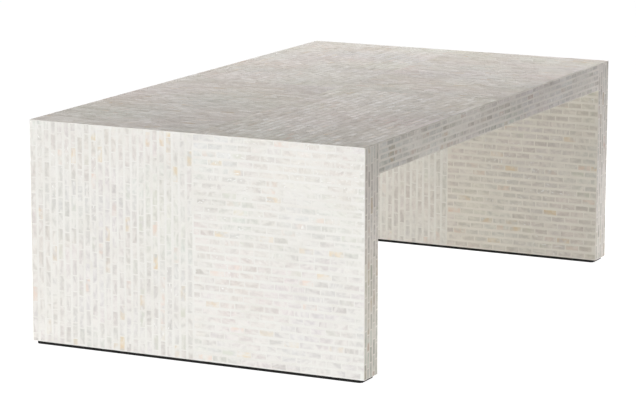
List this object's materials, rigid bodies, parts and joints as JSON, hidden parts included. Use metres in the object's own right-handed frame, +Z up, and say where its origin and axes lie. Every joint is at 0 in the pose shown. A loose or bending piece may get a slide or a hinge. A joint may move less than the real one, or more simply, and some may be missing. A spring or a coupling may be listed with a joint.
{
  "type": "coffee table",
  "caption": "Low rectangular coffee table with a thick top on two full-width panel legs, faced in shell brick mosaic, for living-room use.",
  "frame": {"origin": "on the floor under the middle of the table, at the bottom centre of its box", "axes": "+X along the length towards the right leg, +Y across the width towards the back, +Z up"},
  "size_m": [1.2192, 0.6984, 0.4328],
  "materials": {
    "shell_mosaic": "satin",
    "painted_board": "satin",
    "fibreboard": "matte",
    "framing_timber": "matte",
    "dowel_beech": "matte",
    "black_strip": "matte",
    "screw_steel": "satin"
  },
  "bodies": {
    "root": {"left_corner_dowels": "dowel_beech", "left_leg_base_strip": "black_strip", "left_leg_bottom_rail": "framing_timber", "left_leg_edge_mosaic_back": "shell_mosaic", "left_leg_edge_mosaic_front": "shell_mosaic", "left_leg_inner_mosaic_back": "shell_mosaic", "left_leg_inner_mosaic_front": "shell_mosaic", "left_leg_inner_skin": "fibreboard", "left_leg_outer_mosaic_back": "shell_mosaic", "left_leg_outer_mosaic_front": "shell_mosaic", "left_leg_outer_skin": "fibreboard", "left_leg_rib_1": "framing_timber", "left_leg_rib_2": "framing_timber", "left_leg_rib_3": "framing_timber", "left_leg_stile_back": "framing_timber", "left_leg_stile_front": "framing_timber", "left_leg_strip_screws": "screw_steel", "left_leg_top_rail": "framing_timber", "right_corner_dowels": "dowel_beech", "right_leg_base_strip": "black_strip", "right_leg_bottom_rail": "framing_timber", "right_leg_edge_mosaic_back": "shell_mosaic", "right_leg_edge_mosaic_front": "shell_mosaic", "right_leg_inner_mosaic_back": "shell_mosaic", "right_leg_inner_mosaic_front": "shell_mosaic", "right_leg_inner_skin": "fibreboard", "right_leg_outer_mosaic_back": "shell_mosaic", "right_leg_outer_mosaic_front": "shell_mosaic", "right_leg_outer_skin": "fibreboard", "right_leg_rib_1": "framing_timber", "right_leg_rib_2": "framing_timber", "right_leg_rib_3": "framing_timber", "right_leg_stile_back": "framing_timber", "right_leg_stile_front": "framing_timber", "right_leg_strip_screws": "screw_steel", "right_leg_top_rail": "framing_timber", "top_cross_rib_1": "framing_timber", "top_cross_rib_2": "framing_timber", "top_cross_rib_3": "framing_timber", "top_cross_rib_4": "framing_timber", "top_cross_rib_5": "framing_timber", "top_edge_mosaic_back": "shell_mosaic", "top_edge_mosaic_front": "shell_mosaic", "top_end_block_left": "framing_timber", "top_end_block_right": "framing_timber", "top_long_rail_back": "framing_timber", "top_long_rail_front": "framing_timber", "top_lower_skin": "painted_board", "top_mosaic_back_left": "shell_mosaic", "top_mosaic_back_right": "shell_mosaic", "top_mosaic_front_left": "shell_mosaic", "top_mosaic_front_right": "shell_mosaic", "top_upper_skin": "fibreboard"}
  },
  "joints": []
}
